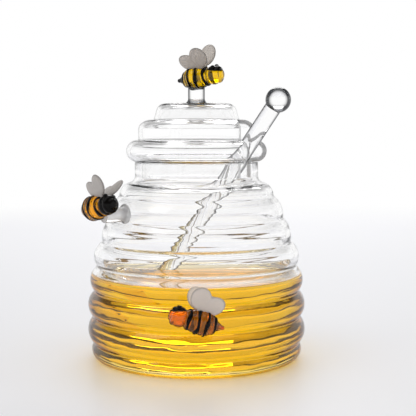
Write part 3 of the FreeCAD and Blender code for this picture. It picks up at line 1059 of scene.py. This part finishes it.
def wing_outline(share, count):
    """Where a wing's edge lies round its middle: how far out, at each of so many angles."""
    lean = -17.5
    middle = 4.3 * np.array((math.sin(math.radians(lean)), math.cos(math.radians(lean))))
    angles = np.linspace(0, math.tau, count, endpoint=False)
    ways = np.stack((np.sin(angles), np.cos(angles)), 1)
    reach = np.zeros(count)
    # length, width, heading, and the share of its length that each lobe's middle is out from the root
    fore, hind = (10.2 * share, 8.2 * share, 10, 0.64), (9.8 * share, 8.0 * share, -45, 0.64)
    for long, wide, heading, out in (fore, hind, (7.0, 4.0, lean, 0.42)):
        turn = math.radians(heading)
        along = np.array((math.sin(turn), math.cos(turn)))
        across = np.array((along[1], -along[0]))
        off = middle - along * out * long
        p = np.array((off @ along / (long / 2), off @ across / (wide / 2)))
        d = np.stack((ways @ along / (long / 2), ways @ across / (wide / 2)), 1)
        a, b, c = (d**2).sum(1), 2 * d @ p, p @ p - 1
        root = b**2 - 4 * a * c
        edge = np.where(root > 0, (-b + np.sqrt(np.maximum(root, 0))) / (2 * a), 0)
        reach = np.maximum(reach, edge)
    smoothing = np.array((1, 2, 3, 2, 1)) / 9
    wrapped = np.concatenate((reach[-2:], reach, reach[:2]))
    return middle, ways, np.convolve(wrapped, smoothing, "valid")


class HONEYJAR_OT_wings(Operator):
    """Presses the milky wings, whose fine ribs spread out from the root"""

    bl_idname = "honeyjar.wings"
    bl_label = "Wings"

    def execute(self, context):
        for kind, bee in BEES.items():
            splay, shift, share = bee.wings
            # each bee's milk colour holds painted light: lighter or darker for how that bee's wings
            # are lit
            glass = milky_glass(f"milky_glass_{kind}", (*linear(bee.milk_with_painted_light), 1))
            for side, word in ((1, "left"), (-1, "right")):
                mesh = wing_mesh(f"{kind}_{word}_wing", share)
                mesh.materials.append(glass)
                root = Matrix.Translation(Vector((3.9 + shift, side * 1.2, 3.3)) * MM)
                lean = Matrix.Rotation(math.radians(-side * splay), 4, "X")
                mesh.transform(bee_place(context, bee) @ root @ lean)
                wing = new_piece(f"{kind}_{word}_wing", mesh)
                finish_piece(wing, "milky_glass", f"{kind}_bee_{word}_wing")
        return {"FINISHED"}


def wing_mesh(name, share, count=160, rings=14, thickness=1.4, ribs=30):
    """A flat wing with a round edge and fine ribs, that stands on its root across the Y axis."""
    rib_rise, rib_centre, rim_from = 0.05, 1.5, 0.9
    middle, ways, reach = wing_outline(share, count)
    corners, faces, rim = [], [], []
    outs = [math.sin(math.pi / 2 * k / rings) for k in range(1, rings + 1)]
    layers = [(s, 1) for s in outs] + [(s, -1) for s in outs[-2::-1]]
    for s, side in layers:
        for way, far in zip(ways, reach):
            x, z = middle + way * far * s
            half = thickness / 2 * math.sqrt(max(0.0, 1 - s**4))
            rib = rib_rise * math.cos(ribs * math.atan2(x, z + rib_centre)) * min(1.0, 3 * (1 - s))
            corners.append((x * MM, side * (half + rib * (s < 1)) * MM, z * MM))
            rim.append(max(0.0, (s - rim_from) / 0.1))
    for k in range(len(layers) - 1):
        for n in range(count):
            m = (n + 1) % count
            faces.append((k * count + n, k * count + m, (k + 1) * count + m, (k + 1) * count + n))
    for side, start in ((1, 0), (-1, (len(layers) - 1) * count)):
        pole = len(corners)
        corners.append((middle[0] * MM, side * thickness / 2 * MM, middle[1] * MM))
        rim.append(0.0)
        for n in range(count):
            m = (n + 1) % count
            ring = (start + n, start + m) if side < 0 else (start + m, start + n)
            faces.append((pole, *ring))
    mesh = bpy.data.meshes.new(name)
    mesh.from_pydata(corners, [], faces)
    if not points_outwards(mesh):
        mesh.flip_normals()
    for face in mesh.polygons:
        face.use_smooth = True
    edge = mesh.attributes.new("rim", "FLOAT", "POINT")
    edge.data.foreach_set("value", rim)
    return mesh


class HONEYJAR_OT_posts(Operator):
    """Draws the clear posts that carry the bees, each with a flared foot"""

    bl_idname = "honeyjar.posts"
    bl_label = "Posts"

    def execute(self, context):
        edge = context.scene.jar_colours.glass_edge_shade
        for kind, bee in BEES.items():
            post = bee.post
            slant = (post.edge_shade_from, post.edge_shade_from + 0.4)
            glass = borosilicate(f"borosilicate_post_{kind}", edge, slant, clear=post.clear)
            outline = softened(path(post_corners(post)), MELT["post"])
            piece = turned(f"{kind}_post", thinned(outline), glass, SMALL_STEPS)
            if bee.standoff is None:
                place = Matrix.Translation(Vector((0, 0, post.height)) * MM)
            else:
                turn = math.radians(post.heading)
                out = Vector((math.cos(turn), math.sin(turn), 0))
                foot = out * hive_radius(context, post.height) + Vector((0, 0, post.height))
                facing = out.to_track_quat("Z", "X").to_matrix().to_4x4()
                place = Matrix.Translation(foot * MM) @ facing
            piece.data.transform(place)
            finish_piece(piece, "clear_glass", f"{kind}_bee_post")
        return {"FINISHED"}


def post_corners(post):
    """A post's outline from its foot, which is sunk into the glass under it, to its end."""
    sunk, lip = 0.5, 0.1
    foot = post.radius + post.flare
    return [
        (0, -sunk),
        (foot, -sunk),
        (foot, lip, post.flare * 0.35, True),
        (post.radius, 2 * post.flare),
        (post.radius, post.reach),
        (0, post.reach),
    ]


class HONEYJAR_OT_stage(Operator):
    """Sets the pale table, the white surroundings, the soft lamps and the camera"""

    bl_idname = "honeyjar.stage"
    bl_label = "Stage"

    def execute(self, context):
        scene = context.scene
        mesh = bpy.data.meshes.new("table")
        corners = [(x, y, 0.0) for x, y in ((-2, -2), (2, -2), (2, 2), (-2, 2))]
        mesh.from_pydata(corners, [], [(0, 1, 2, 3)])
        mesh.materials.append(table_finish(scene.jar_colours.table))
        table = new_piece("table", mesh)
        table.location.z = -0.2 * MM
        scene.world = white_room()
        for name, spot, power in (
            ("softbox_left", (-0.75, -0.35, 0.95), 1.7),
            ("softbox_back", (0.08, 0.80, 0.75), 4.1),
        ):
            lamp = bpy.data.lights.new(name, "AREA")
            lamp.energy, lamp.size = power, 0.6
            light = new_piece(name, lamp)
            light.location = spot
            aim = Vector((0, 0, 0.05)) - Vector(spot)
            light.rotation_euler = aim.to_track_quat("-Z", "Y").to_euler()
        camera = bpy.data.cameras.new("camera")
        camera.lens, camera.sensor_width = 86.54, 36.0
        camera.clip_start = 0.01
        tilt, swing = 90 - 4.915, -0.659
        view = new_piece("camera", camera)
        view.location = (0.0, -0.440, 0.1034)
        view.rotation_euler = (math.radians(tilt), 0, math.radians(swing))
        scene.camera = view
        scene.view_settings.view_transform = "Standard"
        return {"FINISHED"}


def seen_rays(tree):
    """1 for a ray of sight, straight, mirrored or through glass, and 0 for lighting."""
    rays = add_node(tree, "ShaderNodeLightPath").outputs
    seen = rays["Is Camera Ray"]
    for name in ("Is Glossy Ray", "Is Transmission Ray"):
        seen = add_node(
            tree, "ShaderNodeMath", {"operation": "MAXIMUM"}, {0: seen, 1: rays[name]}
        ).outputs[0]
    return seen


def table_finish(colour):
    """Satin white board: a soft sheen near the jar, which fades into the white behind it."""
    fade_from, fade_to = 0.54, 0.86
    material, tree = new_material("satin_board")
    spot = add_node(tree, "ShaderNodeTexCoord").outputs["Object"]
    away = add_node(tree, "ShaderNodeVectorMath", {"operation": "LENGTH"}, {0: spot}).outputs[1]
    fade = add_node(
        tree,
        "ShaderNodeMapRange",
        {"interpolation_type": "SMOOTHSTEP"},
        {"Value": away, "From Min": fade_from, "From Max": fade_to},
    )
    board = add_node(
        tree,
        "ShaderNodeBsdfPrincipled",
        None,
        {"Base Color": colour, "Roughness": 0.42, "IOR": 1.35},
    )
    white = add_node(tree, "ShaderNodeEmission", None, {"Color": (1, 1, 1, 1)})
    share = add_node(
        tree, "ShaderNodeMath", {"operation": "MULTIPLY"}, {0: fade.outputs[0], 1: seen_rays(tree)}
    )
    mix = add_node(
        tree,
        "ShaderNodeMixShader",
        None,
        {0: share.outputs[0], 1: board.outputs[0], 2: white.outputs[0]},
    )
    add_node(tree, "ShaderNodeOutputMaterial", None, {"Surface": mix.outputs[0]})
    return material


def white_room():
    """A room that is white at sight, with a dark band that the glass picks up, and lights evenly."""
    # heights and how dark the room is there
    dark_band = ((0.0, 0.0), (0.25, 0.0), (0.42, 1.0), (0.75, 1.0), (0.88, 0.0))
    dark_mirrored, dark_through, lit_level = 0.9, 0.45, 0.66
    white, black = (1, 1, 1, 1), (0, 0, 0, 1)
    world = bpy.data.worlds.new("white_room")
    world.use_nodes = True
    tree = world.node_tree
    tree.nodes.clear()
    way = add_node(tree, "ShaderNodeTexCoord").outputs["Generated"]
    up = add_node(tree, "ShaderNodeSeparateXYZ", None, {0: way}).outputs["Z"]
    ramp = add_node(tree, "ShaderNodeValToRGB", None, {0: up})
    while len(ramp.color_ramp.elements) < len(dark_band):
        ramp.color_ramp.elements.new(0.5)
    for element, (at, level) in zip(ramp.color_ramp.elements, dark_band):
        element.position = at
        element.color = (level, level, level, 1)
    rays = add_node(tree, "ShaderNodeLightPath").outputs
    depth = add_node(
        tree,
        "ShaderNodeMapRange",
        None,
        {"Value": rays["Is Transmission Ray"], "To Min": dark_mirrored, "To Max": dark_through},
    )
    dark = add_node(
        tree, "ShaderNodeMath", {"operation": "MULTIPLY"}, {0: ramp.outputs[0], 1: depth.outputs[0]}
    )
    banded = add_node(
        tree, "ShaderNodeMix", {"data_type": "RGBA"}, {0: dark.outputs[0], 6: white, 7: black}
    )
    room = add_node(
        tree,
        "ShaderNodeMix",
        {"data_type": "RGBA"},
        {0: rays["Is Camera Ray"], 6: banded.outputs[2], 7: white},
    )
    sight = add_node(tree, "ShaderNodeBackground", None, {0: room.outputs[2], 1: 1.0})
    lit = add_node(tree, "ShaderNodeBackground", None, {0: white, 1: lit_level})
    mix = add_node(
        tree,
        "ShaderNodeMixShader",
        None,
        {0: seen_rays(tree), 1: lit.outputs[0], 2: sight.outputs[0]},
    )
    add_node(tree, "ShaderNodeOutputWorld", None, {"Surface": mix.outputs[0]})
    return world


class HONEYJAR_PT_sidebar(Panel):
    """Lists the sizes, the colours and the pieces of the honey jar"""

    bl_idname = "HONEYJAR_PT_sidebar"
    bl_label = "Honey Jar"
    bl_space_type = "VIEW_3D"
    bl_region_type = "UI"
    bl_category = "Honey Jar"

    def draw(self, context):
        for name in GROUPS:
            group = getattr(context.scene, name)
            box = self.layout.box()
            for prop in group.__annotations__:
                box.prop(group, prop)
        for operator in OPERATORS:
            self.layout.operator(operator.bl_idname)


GROUPS = {
    "hive_sizes": HiveSizes,
    "lid_sizes": LidSizes,
    "dipper_sizes": DipperSizes,
    "jar_colours": JarColours,
}
OPERATORS = (
    HONEYJAR_OT_jar,
    HONEYJAR_OT_honey,
    HONEYJAR_OT_lid,
    HONEYJAR_OT_dipper,
    HONEYJAR_OT_bees,
    HONEYJAR_OT_wings,
    HONEYJAR_OT_posts,
    HONEYJAR_OT_stage,
)
CLASSES = (*GROUPS.values(), *OPERATORS, HONEYJAR_PT_sidebar)


def register():
    """Registers the classes, and gives each scene its sizes and colours."""
    for made in CLASSES:
        bpy.utils.register_class(made)
    for name, group in GROUPS.items():
        setattr(bpy.types.Scene, name, PointerProperty(type=group))


def unregister():
    """Takes the sizes, the colours and the classes away again."""
    for name in GROUPS:
        delattr(bpy.types.Scene, name)
    for made in reversed(CLASSES):
        bpy.utils.unregister_class(made)


def main():
    """Makes every piece."""
    register()
    for operator in OPERATORS:
        family, name = operator.bl_idname.split(".")
        getattr(getattr(bpy.ops, family), name)()


if __name__ == "__main__":
    main()
